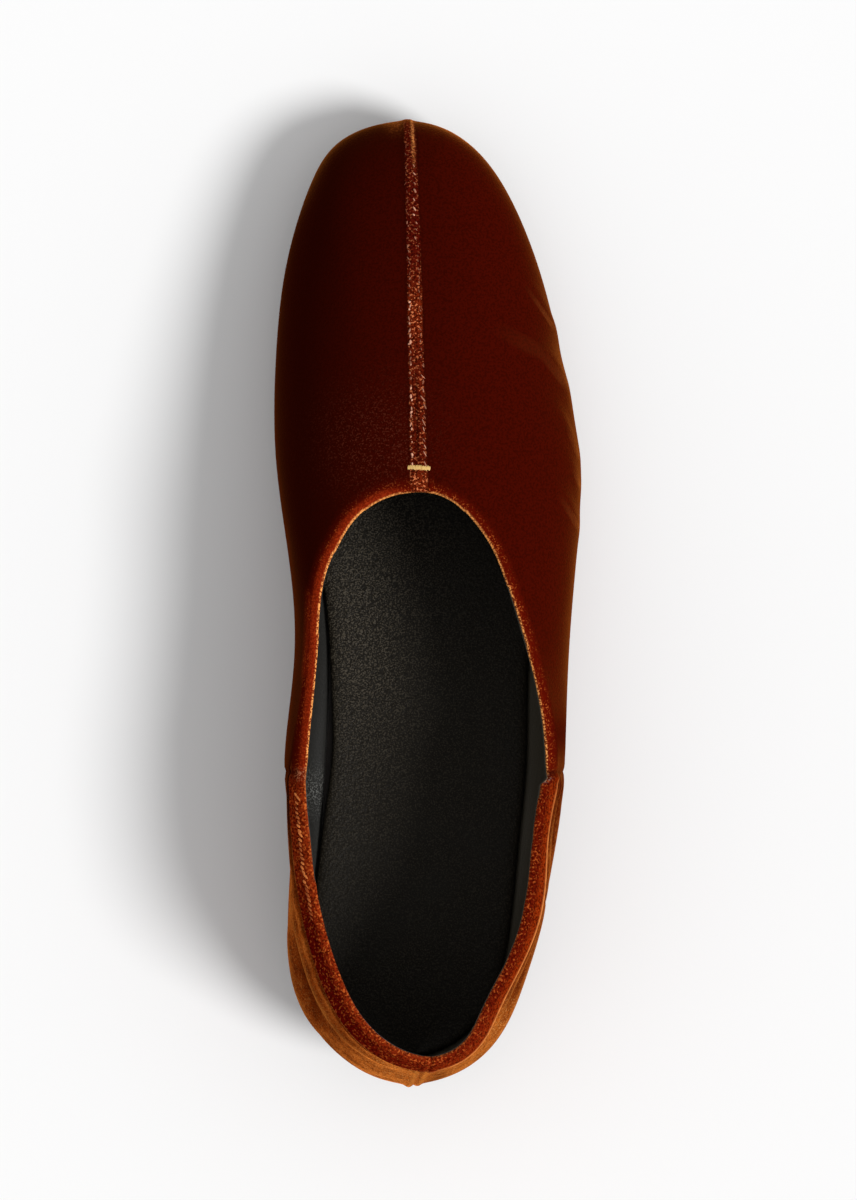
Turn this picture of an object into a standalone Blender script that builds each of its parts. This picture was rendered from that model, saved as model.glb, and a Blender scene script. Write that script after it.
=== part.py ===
"""Soft velvet slipper flat for the right foot, standing empty on its sole.

Four pieces are put together: an outsole with a low heel, an insole, a hollow upper and a thread bar tack
at the throat.  All sizes are in millimetres and the meshes are made in metres.  +Y runs from heel to toe,
+X to the outer (lateral) side of the foot, +Z up, and the floor is Z = 0.

The upper is a sheet between two closed loops, the edge of the sole and the topline.  Ribs run from the one
loop to the other, numbered round the shoe: 0 at the heel, up the lateral side, TOE at the toe and back down
the medial side.  Along a rib the sheet rolls out from under the foot, climbs the wall and ends in a band.
"""

import math
from collections import namedtuple

import bmesh
import bpy
import numpy as np

MM = 0.001

# Driving sizes of the shoe
LENGTH = 250.0
BALL_WIDTH = 80.0
INSTEP_HEIGHT = 53.0
HEEL_SEAT_HEIGHT = 12.0
SOLE_THICKNESS = 4.5
TOE_SPRING = 6.5
WALL = 2.0
SEAT_GAP = 0.3

# Outsole
SOLE_PROUD = 2.2
SOLE_BEVEL = 0.7
HEEL_TAPER = 0.12
HEEL_BREAST = 0.25
BREAST_SLOPE = 1.2
SEAT_END, TREAD_START = 0.12, 0.57
SPRING_START = 0.76
SOLE_STATIONS = 52

# Insole
INSOLE_THICKNESS = 3.0
INSOLE_INSET = 0.6
INSOLE_EDGE = 0.8
INSOLE_CUP = 1.2
INSOLE_STATIONS = 40
INSOLE_ACROSS = 10

# Seams, topline and bar tack of the upper
HEEL_SEAM_HALF_WIDTH = 1.9
THROAT_SEAM_HALF_WIDTH = 2.1
TOE_SEAM_HALF_WIDTH = 1.4
SEAM_FLAT_SHARE = 0.62
SEAM_HEIGHT = 0.45
NOTCH_DEPTH = 1.6
FOLD = 1.3
BAND_PUFF = 0.9
RIM_ROUND = 0.7
ROLL = 0.55
TACK_LENGTH = 5.8
TACK_WIDTH = 1.2
TACK_HEIGHT = 0.8
TACK_SETBACK = 5.2
TACK_ROUND = 0.28

# Edge of the shoe seen from above.  along is a share of the length, lateral and medial are shares of half
# the ball width out from the centre line.  The tucks say how far in the sole's edge lies, belly how high the
# wall is widest.
Edge = namedtuple("Edge", "name along lateral medial tuck_lateral tuck_medial belly")
EDGES = (
    Edge("heel_back", 0.000, -0.125, 0.125, 6.0, 6.0, 25.0),
    Edge("heel_round", 0.028, 0.335, 0.565, 6.0, 6.0, 25.0),
    Edge("heel_corner", 0.096, 0.595, 0.860, 5.6, 6.2, 24.0),
    Edge("heel_side", 0.184, 0.735, 0.905, 7.4, 7.2, 23.0),
    Edge("quarter", 0.264, 0.832, 0.890, 9.2, 8.4, 24.0),
    Edge("side_seam", 0.336, 0.870, 0.930, 9.0, 11.0, 25.0),
    Edge("waist", 0.440, 0.900, 0.865, 9.6, 9.4, 23.0),
    Edge("instep", 0.544, 0.962, 0.900, 8.0, 8.0, 18.0),
    Edge("joint", 0.648, 0.995, 0.985, 5.2, 5.2, 14.5),
    Edge("tread", 0.752, 0.880, 0.985, 4.6, 4.6, 13.5),
    Edge("toe_side", 0.848, 0.726, 0.920, 4.5, 4.5, 13.5),
    Edge("toe_corner", 0.932, 0.500, 0.765, 4.6, 4.6, 14.5),
    Edge("toe_round", 0.982, 0.225, 0.540, 5.0, 5.0, 15.5),
    Edge("toe_tip", 1.000, -0.130, 0.130, 5.2, 5.2, 16.0),
)

# Clear edge of the opening where each of the ribs above ends, in the same shares.  height is a share of the
# instep height.  The band is the folded strip below the topline: its widths are seen from above, drop is
# how far its lower edge lies under the fold.
Topline = namedtuple("Topline", "along lateral medial height band_lateral band_medial drop")
TOPLINE = (
    Topline(0.043, -0.040, 0.040, 1.170, 2.6, 2.6, 7.5),
    Topline(0.061, 0.200, 0.335, 1.155, 2.8, 3.6, 7.5),
    Topline(0.108, 0.350, 0.555, 1.115, 3.2, 4.6, 7.2),
    Topline(0.184, 0.570, 0.700, 1.050, 3.2, 5.0, 6.8),
    Topline(0.260, 0.620, 0.767, 0.990, 3.0, 4.6, 6.5),
    Topline(0.328, 0.700, 0.790, 0.945, 2.6, 3.4, 5.0),
    Topline(0.400, 0.665, 0.750, 0.935, 1.8, 2.0, 2.2),
    Topline(0.464, 0.562, 0.715, 0.940, 1.6, 1.6, 1.2),
    Topline(0.516, 0.457, 0.682, 0.955, 1.6, 1.6, 0.9),
    Topline(0.552, 0.365, 0.600, 0.967, 1.6, 1.6, 0.7),
    Topline(0.578, 0.255, 0.505, 0.980, 1.6, 1.6, 0.6),
    Topline(0.596, 0.145, 0.380, 0.992, 1.6, 1.6, 0.6),
    Topline(0.606, 0.030, 0.235, 1.000, 1.6, 1.6, 0.6),
    Topline(0.609, -0.090, 0.090, 1.003, 1.6, 1.6, 0.6),
)

# Profile of the wall along each rib: rise is its upright start above the belly, reach and lean (in degrees
# above level) are the length and angle of its run up to the band.
Wall = namedtuple("Wall", "rise reach lean")
WALLS = (
    Wall(11.0, 10.0, 80.0),
    Wall(11.0, 10.0, 80.0),
    Wall(11.0, 10.0, 80.0),
    Wall(11.0, 10.0, 82.0),
    Wall(11.0, 9.0, 80.0),
    Wall(11.0, 8.0, 76.0),
    Wall(12.0, 9.0, 60.0),
    Wall(16.0, 12.0, 42.0),
    Wall(18.0, 16.0, 28.0),
    Wall(18.5, 22.0, 21.0),
    Wall(18.5, 29.0, 18.0),
    Wall(18.5, 35.0, 16.0),
    Wall(18.5, 39.0, 15.0),
    Wall(18.5, 40.0, 15.0),
)

HEEL, TOE = 0, len(EDGES) - 1
RIBS = 2 * TOE
SIDE_SEAM = 5
NOTCH_REACH = 0.2
SEAM_CLEAR = 0.6
REGULAR_COLUMNS = 60
UNDER_ROWS = (0.0, 0.35, 0.7)
WALL_ROWS = (0.0, 0.12, 0.25, 0.38, 0.5, 0.62, 0.73, 0.83, 0.92)
BAND_ROWS = (0.0, 0.3, 0.65, 1.0)
LOOP_SAMPLES = 400
NARROWEST_EDGE = 1 / 6
SHARP_EDGE_DEG = 40.0
UP = np.array([0.0, 0.0, 1.0])


def smooth_step(share):
    share = np.clip(share, 0.0, 1.0)
    return share * share * (3.0 - 2.0 * share)


def sole_top(along):
    """Height of the sole's upper face: heel seat, slope of the arch, tread and toe spring."""
    share = np.asarray(along) / LENGTH
    drop = smooth_step((share - SEAT_END) / (TREAD_START - SEAT_END))
    spring = np.clip((share - SPRING_START) / (1.0 - SPRING_START), 0.0, 1.0) ** 2
    return HEEL_SEAT_HEIGHT + (SOLE_THICKNESS - HEEL_SEAT_HEIGHT) * drop + TOE_SPRING * spring


def closed_spline(knots):
    """Smooth closed curve through the knots, as a function of the rib number."""
    count = len(knots)
    matrix = 4.0 * np.eye(count) + np.roll(np.eye(count), 1, axis=1) + np.roll(np.eye(count), -1, axis=1)
    slopes = np.linalg.solve(matrix, 3.0 * (np.roll(knots, -1, axis=0) - np.roll(knots, 1, axis=0)))

    def at(rib):
        rib = np.asarray(rib, float) % count
        first = np.floor(rib).astype(int) % count
        second = (first + 1) % count
        t = (rib - np.floor(rib))[:, None]
        return (
            knots[first] * (1 + 2 * t) * (1 - t) ** 2
            + slopes[first] * t * (1 - t) ** 2
            + knots[second] * t * t * (3 - 2 * t)
            + slopes[second] * t * t * (t - 1)
        )

    return at


def rib_knots():
    """One row of sizes for each rib, up the lateral side from the heel and back down the medial side."""
    half = BALL_WIDTH / 2
    lateral_ribs = [("lateral", 1.0, i) for i in range(TOE + 1)]
    medial_ribs = [("medial", -1.0, i) for i in range(TOE - 1, 0, -1)]
    rows = []
    for side, sign, i in lateral_ribs + medial_ribs:
        edge, top, wall = EDGES[i], TOPLINE[i], WALLS[i]
        edge_out, top_out = getattr(edge, side), getattr(top, side)
        tuck, band = getattr(edge, "tuck_" + side), getattr(top, "band_" + side)
        rows.append((
            sign * edge_out * half, edge.along * LENGTH, edge.belly, tuck,
            sign * top_out * half, top.along * LENGTH, top.height * INSTEP_HEIGHT, band, top.drop,
            wall.rise, wall.reach, wall.lean,
        ))
    return np.array(rows)


RIB_SIZES = closed_spline(rib_knots())


def outward(points_at, rib):
    """Level unit vectors that point out of a loop running anticlockwise seen from above."""
    step = 0.01
    along = points_at(rib + step) - points_at(rib - step)
    out = np.stack([along[:, 1], -along[:, 0], np.zeros(len(rib))], axis=1)
    return out / np.linalg.norm(out, axis=1)[:, None]


def belly_loop(rib):
    return RIB_SIZES(rib)[:, 0:3]


BELLY = belly_loop(np.linspace(HEEL, RIBS, LOOP_SAMPLES))
CENTRE_X = -(BELLY[:, 0].min() + BELLY[:, 0].max()) / 2
CENTRE_Y = -(BELLY[:, 1].min() + BELLY[:, 1].max()) / 2


def feather_loop(rib, inset=0.0):
    """Where the upper meets the sole, or a loop further in."""
    points = belly_loop(rib) - outward(belly_loop, rib) * (RIB_SIZES(rib)[:, 3:4] + inset)
    points[:, 2] = sole_top(points[:, 1]) + SEAT_GAP
    return points


def opening_loop(rib):
    return RIB_SIZES(rib)[:, 4:7]


def topline_loop(rib):
    """The fold round the opening, with a small notch where vamp and quarter meet."""
    points = opening_loop(rib) + outward(opening_loop, rib) * FOLD
    for seam in (SIDE_SEAM, RIBS - SIDE_SEAM):
        points[:, 2] -= NOTCH_DEPTH * np.clip(1 - np.abs(rib - seam) / NOTCH_REACH, 0.0, 1.0)
    return points


def band_foot_loop(rib):
    sizes = RIB_SIZES(rib)
    return topline_loop(rib) + outward(topline_loop, rib) * sizes[:, 7:8] - UP * sizes[:, 8:9]


def bezier(a, b, c, d, t):
    return a * (1 - t) ** 3 + b * 3 * t * (1 - t) ** 2 + c * 3 * t * t * (1 - t) + d * t ** 3


def under_row(rib, t):
    """The sheet rolling out from the sole's edge up to the belly."""
    foot, belly = feather_loop(rib), belly_loop(rib)
    level = foot + outward(belly_loop, rib) * RIB_SIZES(rib)[:, 3:4] * ROLL
    level[:, 2] = sole_top(level[:, 1]) + SEAT_GAP
    rise = UP * (belly[:, 2:3] - foot[:, 2:3])
    return bezier(foot, level, belly - ROLL * rise, belly, t)


def wall_row(rib, t):
    """The wall from the belly up to the band, upright at first and then leaning in."""
    sizes = RIB_SIZES(rib)
    belly, foot = belly_loop(rib), band_foot_loop(rib)
    level = (foot - belly) * (1, 1, 0)
    level /= np.linalg.norm(level, axis=1)[:, None]
    lean = np.radians(sizes[:, 11:12])
    run = (level * np.cos(lean) + UP * np.sin(lean)) * sizes[:, 10:11]
    return bezier(belly, belly + UP * sizes[:, 9:10], foot - run, foot, t)


def band_row(rib, t):
    """The folded strip under the topline, a little puffed."""
    foot, top = band_foot_loop(rib), topline_loop(rib)
    puff = outward(topline_loop, rib) * BAND_PUFF * (RIB_SIZES(rib)[:, 8:9] / TOPLINE[HEEL].drop)
    return foot + (top - foot) * t + puff * 4 * t * (1 - t)


def seam_half_width(seam, along):
    """The heel seam keeps its width; the vamp's seam narrows from the throat to the toe."""
    if seam == HEEL:
        return HEEL_SEAM_HALF_WIDTH
    throat, toe = TOPLINE[TOE].along * LENGTH, EDGES[TOE].along * LENGTH
    return np.interp(along, (throat, toe), (THROAT_SEAM_HALF_WIDTH, TOE_SEAM_HALF_WIDTH))


def seam_steps(row, t, seam):
    """Rib numbers from a seam's middle to its flat, its edge and half way to the next regular column."""
    reach = 0.02
    back, front = row(np.array([seam - reach, seam + reach]), t)
    half_width = seam_half_width(seam, (back[1] + front[1]) / 2)
    edge = half_width * 2 * reach / np.linalg.norm(front - back)
    return np.array([SEAM_FLAT_SHARE * edge, edge, (edge + SEAM_CLEAR) / 2])


def column_ribs(row, t):
    """Rib numbers of the mesh columns on one row.  Beside the toe and heel seams they keep its width."""
    heel, toe = seam_steps(row, t, HEEL), seam_steps(row, t, TOE)
    regular = np.linspace(SEAM_CLEAR, TOE - SEAM_CLEAR, REGULAR_COLUMNS)
    lateral = [HEEL, *heel, *regular, *(TOE - toe[::-1])]
    medial = [TOE, *(TOE + toe), *(TOE + regular), *(RIBS - heel[::-1])]
    return np.array(lateral + medial)


def sheet_rows():
    """Rows of points over the outside of the upper, from the sole's edge to the topline."""
    plan = ((under_row, UNDER_ROWS), (wall_row, WALL_ROWS), (band_row, BAND_ROWS))
    return np.array([row(column_ribs(row, t), t) for row, shares in plan for t in shares])


def sheet_normals(rows):
    """Unit normals of the sheet, pointing out of the shoe.  Its foot lies level on the sole."""
    around = np.roll(rows, -1, axis=1) - np.roll(rows, 1, axis=1)
    upward = np.gradient(rows, axis=0)
    normals = np.cross(around, upward)
    normals[0] = -UP
    return normals / np.linalg.norm(normals, axis=2)[:, :, None]


def seam_lift(rows):
    """How far the toe and heel seams stand out on their flat tops.  They run out under the sole."""
    count = rows.shape[1]
    lift = np.zeros(rows.shape[:2])
    for middle in (0, count // 2):
        lift[:, [middle - 1, middle, middle + 1]] = SEAM_HEIGHT
    lift[: len(UNDER_ROWS)] *= np.array(UNDER_ROWS)[:, None]
    return lift


def material(name, colour, roughness, metallic=0.0):
    made = bpy.data.materials.new(name)
    made.use_nodes = True
    shader = made.node_tree.nodes["Principled BSDF"]
    shader.inputs["Base Color"].default_value = (*colour, 1.0)
    shader.inputs["Roughness"].default_value = roughness
    shader.inputs["Metallic"].default_value = metallic
    return made


def add_object(name, bm, finish):
    """Closes the mesh, centres the shoe on the origin and links it."""
    bmesh.ops.recalc_face_normals(bm, faces=bm.faces)
    bmesh.ops.translate(bm, verts=bm.verts, vec=(CENTRE_X, CENTRE_Y, 0.0))
    bmesh.ops.scale(bm, verts=bm.verts, vec=(MM, MM, MM))
    mesh = bpy.data.meshes.new(name)
    bm.to_mesh(mesh)
    bm.free()
    mesh.shade_smooth()
    mesh.set_sharp_from_angle(angle=math.radians(SHARP_EDGE_DEG))
    mesh.materials.append(finish)
    made = bpy.data.objects.new(name, mesh)
    bpy.context.scene.collection.objects.link(made)
    return made


def loft(rings, closed_ends):
    """Faces between rings of points: end caps, or the last ring joined to the first."""
    bm = bmesh.new()
    grid = [[bm.verts.new(point) for point in ring] for ring in rings]
    size = len(rings[0])
    spans = len(grid) - 1 if closed_ends else len(grid)
    for i in range(spans):
        lower, upper = grid[i], grid[(i + 1) % len(grid)]
        for j in range(size):
            k = (j + 1) % size
            bm.faces.new((lower[j], lower[k], upper[k], upper[j]))
    if closed_ends:
        bm.faces.new(grid[0])
        bm.faces.new(grid[-1])
    return bm


def stations(start, end, count):
    """Places along the shoe, closer together where the outline rounds off at heel and toe."""
    return start + (end - start) * (1 - np.cos(np.pi * (np.arange(count) + 0.5) / count)) / 2


def outline_widths(inset, along):
    """Lateral and medial edges of the feather loop, moved in, at places along the shoe."""
    lateral = feather_loop(np.linspace(HEEL, TOE, LOOP_SAMPLES), inset)
    medial = feather_loop(np.linspace(RIBS, TOE, LOOP_SAMPLES), inset)
    return (
        np.interp(along, lateral[:, 1], lateral[:, 0]),
        np.interp(along, medial[:, 1], medial[:, 0]),
        lateral[0, 1],
        lateral[-1, 1],
    )


def make_upper():
    """The velvet shell: one wall with raised seams, open at the topline and underneath."""
    rows = sheet_rows()
    normals = sheet_normals(rows)
    inner = rows - normals * WALL
    outer = rows + normals * seam_lift(rows)[:, :, None]
    top_run = outer[-1] - outer[-2]
    top_run /= np.linalg.norm(top_run, axis=1)[:, None]
    rim = (outer[-1] + inner[-1]) / 2 + top_run * RIM_ROUND
    shell = loft([*outer, rim, *inner[::-1]], closed_ends=False)
    return add_object("upper", shell, material("rust_velvet", (0.16, 0.022, 0.004), 0.75))


def make_outsole():
    """A flat board that follows the last, with a low heel under the seat in the same piece."""
    _, _, back, front = outline_widths(-SOLE_PROUD, np.zeros(1))
    breast = HEEL_BREAST * LENGTH
    along = np.sort(np.append(stations(back, front, SOLE_STATIONS), (breast, breast + BREAST_SLOPE)))
    lateral, medial, _, _ = outline_widths(-SOLE_PROUD, along)
    top = sole_top(along)
    under = np.where(along <= breast, 0.0, top - SOLE_THICKNESS)
    rings = []
    for y, right, left, high, low in zip(along, lateral, medial, top, under):
        narrowest = NARROWEST_EDGE * (right - left)
        bevel = min(SOLE_BEVEL, narrowest)
        taper = min(HEEL_TAPER * (high - low), narrowest)
        rings.append((
            (left + bevel, y, high), (right - bevel, y, high), (right, y, high - bevel),
            (right - taper, y, low + bevel), (right - taper - bevel, y, low),
            (left + taper + bevel, y, low), (left + taper, y, low + bevel), (left, y, high - bevel),
        ))
    board = loft(rings, closed_ends=True)
    return add_object("outsole", board, material("sole_leather", (0.02, 0.016, 0.014), 0.6))


def make_insole():
    """The foot bed, dished a little towards its edge, lying on the sole inside the upper."""
    _, _, back, front = outline_widths(INSOLE_INSET, np.zeros(1))
    along = stations(back, front, INSOLE_STATIONS)
    lateral, medial, _, _ = outline_widths(INSOLE_INSET, along)
    floor = sole_top(along) + SEAT_GAP
    across = np.linspace(0.0, 1.0, INSOLE_ACROSS)
    rings = []
    for y, right, left, low in zip(along, lateral, medial, floor):
        edge = min(INSOLE_EDGE, NARROWEST_EDGE * (right - left))
        cup = INSOLE_CUP * np.abs(2 * across - 1) ** 3
        surface = [
            (left + edge + (right - left - 2 * edge) * share, y, low + INSOLE_THICKNESS + rise)
            for share, rise in zip(across, cup)
        ]
        side = low + INSOLE_THICKNESS + INSOLE_CUP - edge
        rings.append([*surface, (right, y, side), (right, y, low), (left, y, low), (left, y, side)])
    foot_bed = loft(rings, closed_ends=True)
    return add_object("insole", foot_bed, material("insole_leather", (0.012, 0.011, 0.010), 0.5))


def make_bar_tack():
    """A short bar of thread across the toe seam, just ahead of the throat."""
    path = wall_row(np.full(LOOP_SAMPLES, float(TOE)), np.linspace(0.0, 1.0, LOOP_SAMPLES)[:, None])
    throat = topline_loop(np.array([float(TOE)]))[0]
    place = path[np.argmin(np.abs(path[:, 1] - throat[1] - TACK_SETBACK))]
    middle = place + UP * (SEAM_HEIGHT + SEAT_GAP + TACK_HEIGHT / 2)
    bm = bmesh.new()
    bmesh.ops.create_cube(bm, size=1.0)
    bmesh.ops.scale(bm, verts=bm.verts, vec=(TACK_LENGTH, TACK_WIDTH, TACK_HEIGHT))
    bmesh.ops.bevel(bm, geom=bm.edges[:], offset=TACK_ROUND, segments=2, affect="EDGES", profile=0.5)
    bmesh.ops.translate(bm, verts=bm.verts, vec=middle)
    return add_object("bar_tack", bm, material("gold_thread", (0.72, 0.48, 0.16), 0.45))


def clear_scene():
    for old in list(bpy.data.objects):
        bpy.data.objects.remove(old)


clear_scene()
make_outsole()
make_insole()
make_upper()
make_bar_tack()
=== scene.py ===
"""Looks of the velvet slipper flat: rust velvet, dark lining, black insole, plain sole and thread."""

import math
from collections import namedtuple

import bpy
import numpy as np
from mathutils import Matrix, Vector
from mathutils.bvhtree import BVHTree
from mathutils.kdtree import KDTree


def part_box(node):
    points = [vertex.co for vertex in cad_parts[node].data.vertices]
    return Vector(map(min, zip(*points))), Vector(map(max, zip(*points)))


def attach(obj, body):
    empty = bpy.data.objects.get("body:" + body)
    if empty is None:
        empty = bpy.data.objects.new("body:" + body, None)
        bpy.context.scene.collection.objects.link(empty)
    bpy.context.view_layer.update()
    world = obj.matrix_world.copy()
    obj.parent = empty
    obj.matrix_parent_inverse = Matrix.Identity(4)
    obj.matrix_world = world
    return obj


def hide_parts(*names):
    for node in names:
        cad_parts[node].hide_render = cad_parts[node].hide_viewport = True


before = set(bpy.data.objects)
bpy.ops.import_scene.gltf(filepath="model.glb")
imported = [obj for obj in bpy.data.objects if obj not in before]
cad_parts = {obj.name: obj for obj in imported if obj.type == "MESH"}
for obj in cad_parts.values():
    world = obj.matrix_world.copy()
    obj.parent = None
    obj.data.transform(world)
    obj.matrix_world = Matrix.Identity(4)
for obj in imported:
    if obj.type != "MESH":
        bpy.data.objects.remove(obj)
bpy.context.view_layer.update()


# Outsole.  A thin board of dark leather with a low heel in the same piece, cut to the last's outline.
# It is glued under the lasted upper.  Its leather is plain and lightly worn.
MM = 0.001
MERGE_GAP = 0.02 * MM
SOLE_EDGE_ROUND = 0.35 * MM
SOLE_EDGE_ANGLE = math.radians(35)
WEAR_SIZE = 12 * MM
FIBRE_SIZE = 0.6 * MM
DARK_SOLE = (0.018, 0.013, 0.010)
WORN_SOLE = (0.040, 0.030, 0.024)


class Value:
    """A shader output.  Sums with it add Math nodes to its finish."""

    def __init__(self, finish, output):
        self.finish = finish
        self.output = output

    def maths(self, operation, *values):
        return self.finish.node("ShaderNodeMath", {"operation": operation}, dict(enumerate(values)))

    def __add__(self, other):
        return self.maths("ADD", self, other)

    def __radd__(self, other):
        return self.maths("ADD", other, self)

    def __sub__(self, other):
        return self.maths("SUBTRACT", self, other)

    def __rsub__(self, other):
        return self.maths("SUBTRACT", other, self)

    def __mul__(self, other):
        return self.maths("MULTIPLY", self, other)

    def __rmul__(self, other):
        return self.maths("MULTIPLY", other, self)

    def __pow__(self, other):
        return self.maths("POWER", self, other)

    def between(self, low, high):
        """0 below low, 1 above high and a soft step between them."""
        return self.finish.node(
            "ShaderNodeMapRange",
            {"interpolation_type": "SMOOTHSTEP"},
            {"Value": self, "From Min": low, "From Max": high},
        )


class Finish:
    """A material that starts as one Principled shader, with its nodes made by one method."""

    def __init__(self, name, **constants):
        self.material = bpy.data.materials.new(name)
        self.material.use_nodes = True
        self.tree = self.material.node_tree
        self.shader = self.tree.nodes["Principled BSDF"]
        self.set(**constants)

    def set(self, **inputs):
        """Sets or links the shader's sockets; their names are written with _ for spaces."""
        for name, value in inputs.items():
            self.fill(self.shader.inputs[name.replace("_", " ")], value)

    def fill(self, socket, value):
        """Links a shader output to a socket, or gives the socket a number or a colour."""
        if isinstance(value, Value):
            self.tree.links.new(value.output, socket)
        elif isinstance(value, tuple) and len(value) == 3 and socket.type == "RGBA":
            socket.default_value = (*value, 1.0)
        else:
            socket.default_value = value

    def node(self, kind, settings=None, inputs=None, output=0):
        """Any node: its settings first, then the values or links of its sockets."""
        made = self.tree.nodes.new(kind)
        for name, value in (settings or {}).items():
            setattr(made, name, value)
        for name, value in (inputs or {}).items():
            self.fill(made.inputs[name], value)
        return Value(self, made.outputs[output])

    def place(self):
        return self.node("ShaderNodeTexCoord", output="Object")

    def attribute(self, name):
        return self.node("ShaderNodeAttribute", {"attribute_name": name}, output="Fac")

    def noise(self, size, detail=2.0, where=None):
        """Soft noise between 0 and 1 with lumps of about that size in metres."""
        sockets = {"Vector": where or self.place(), "Scale": 1 / size, "Detail": detail}
        return self.node("ShaderNodeTexNoise", {}, sockets)

    def mix(self, share, first, second):
        """A colour between two colours."""
        sockets = {0: share, 6: first, 7: second}
        return self.node("ShaderNodeMix", {"data_type": "RGBA"}, sockets, output=2)

    def bump(self, height, depth):
        """Tilts the shader's normal by a height, where 1 stands for a depth in metres."""
        relief = self.node("ShaderNodeBump", {}, {"Height": height, "Distance": depth})
        self.set(Normal=relief)
        return relief


def copy_node(name, piece_name, quads=True):
    """A new piece with a merged copy of a CAD node's mesh."""
    piece = bpy.data.objects.new(piece_name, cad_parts[name].data.copy())
    bpy.context.scene.collection.objects.link(piece)
    bpy.ops.object.select_all(action="DESELECT")
    piece.select_set(True)
    bpy.context.view_layer.objects.active = piece
    bpy.ops.object.mode_set(mode="EDIT")
    bpy.ops.mesh.select_all(action="SELECT")
    bpy.ops.mesh.customdata_custom_splitnormals_clear()
    bpy.ops.mesh.remove_doubles(threshold=MERGE_GAP)
    if quads:
        bpy.ops.mesh.tris_convert_to_quads(
            face_threshold=math.radians(70), shape_threshold=math.radians(100)
        )
    bpy.ops.object.mode_set(mode="OBJECT")
    piece.data.materials.clear()
    return piece


def apply_modifier(piece, kind, **settings):
    """Adds a modifier to a piece and applies it at once."""
    made = piece.modifiers.new(kind.lower(), kind)
    for name, value in settings.items():
        setattr(made, name, value)
    bpy.ops.object.select_all(action="DESELECT")
    piece.select_set(True)
    bpy.context.view_layer.objects.active = piece
    bpy.ops.object.modifier_apply(modifier=made.name)


def dress(piece, finish, slot, *nodes):
    """Gives a finished piece its material and its place on the shoe, and hides the CAD nodes it stands for.
    """
    piece.data.materials.append(finish.material)
    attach(piece, "root")
    if nodes:
        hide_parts(*nodes)


outsole = copy_node("outsole", "sole_board", quads=False)
apply_modifier(outsole, "BEVEL", width=SOLE_EDGE_ROUND, segments=2, angle_limit=SOLE_EDGE_ANGLE)
bpy.ops.object.shade_smooth_by_angle(angle=SOLE_EDGE_ANGLE)
sole_leather = Finish("sole_leather", Specular_IOR_Level=0.4)
wear = sole_leather.noise(WEAR_SIZE, 4.0)
fibre = sole_leather.noise(FIBRE_SIZE, 3.0)
sole_leather.set(
    Base_Color=sole_leather.mix(wear.between(0.45, 0.75), DARK_SOLE, WORN_SOLE),
    Roughness=0.45 + 0.3 * wear,
)
sole_leather.bump(fibre + 2.0 * wear, 0.05 * MM)
dress(outsole, sole_leather, "sole_leather", "outsole")


# Insole.  A foot bed of black pebbled leather over thin foam, dished towards its edge.
# It lies loose on the sole board inside the upper, with its soft edge turned out over the lining.
INSOLE_SPREAD = 1.6
# Along the medial side the edge reaches further out, or less far with a minus, at these places.
CURL_Y = (-95, -79, -62, -52, -46, -38, -23, -8)
MEDIAL_CURL = (0, 0.5, -0.1, -1.1, -2.8, -2.6, -0.9, 0)
MEDIAL_CURL_X = -10.0
# A painted patch of light on the medial half, where the key light reaches past the lateral wall: its middle
# line, its centre and its half widths.
LIT_PATCH_LINE_Y = (-40.0, 20.0)
LIT_PATCH_LINE_X = (-17.0, -16.0)
LIT_PATCH_CENTRE_Y = 2.0
LIT_PATCH_HALF_WIDTH = 15.0
LIT_PATCH_HALF_LENGTH = 44.0
PEBBLE_SIZE = 0.75 * MM
GRAIN_SIZE = 0.4 * MM
PATCH_SIZE = 14 * MM
BLACK_LEATHER = (0.0090, 0.0068, 0.0038)
# The colour of the painted light on the black leather.
PAINTED_LIGHT_LEATHER = (0.080, 0.066, 0.046)


def mesh_arrays(piece):
    """Places and normals of a mesh's points."""
    count = len(piece.data.vertices)
    places, normals = np.zeros(count * 3), np.zeros(count * 3)
    piece.data.vertices.foreach_get("co", places)
    piece.data.vertices.foreach_get("normal", normals)
    return places.reshape(-1, 3), normals.reshape(-1, 3)


def move_points(piece, places):
    piece.data.vertices.foreach_set("co", places.ravel())
    piece.data.update()


def smooth(piece):
    """Rounds a piece's facets off."""
    apply_modifier(piece, "SUBSURF", levels=2, render_levels=2)
    bpy.ops.object.shade_smooth()


def store(piece, name, values):
    """Keeps one number for each point, for the material to read."""
    made = piece.data.attributes.new(name, "FLOAT", "POINT")
    made.data.foreach_set("value", np.asarray(values, np.float32))


def hump(values, middle, half_width):
    """1 in the middle, falling softly to nothing about two half widths away."""
    return np.exp(-(((values - middle) / half_width) ** 2))


insole = copy_node("insole", "foot_bed")
places, normals = mesh_arrays(insole)
x, y, _ = places.T / MM
sideways = normals * (1, 1, 0) * (normals[:, 2:] > 0)
reach = INSOLE_SPREAD + np.interp(y, CURL_Y, MEDIAL_CURL) * (x < MEDIAL_CURL_X)
move_points(insole, places + sideways * reach[:, None] * MM)
smooth(insole)
places, _ = mesh_arrays(insole)
x, y, _ = places.T / MM
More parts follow.
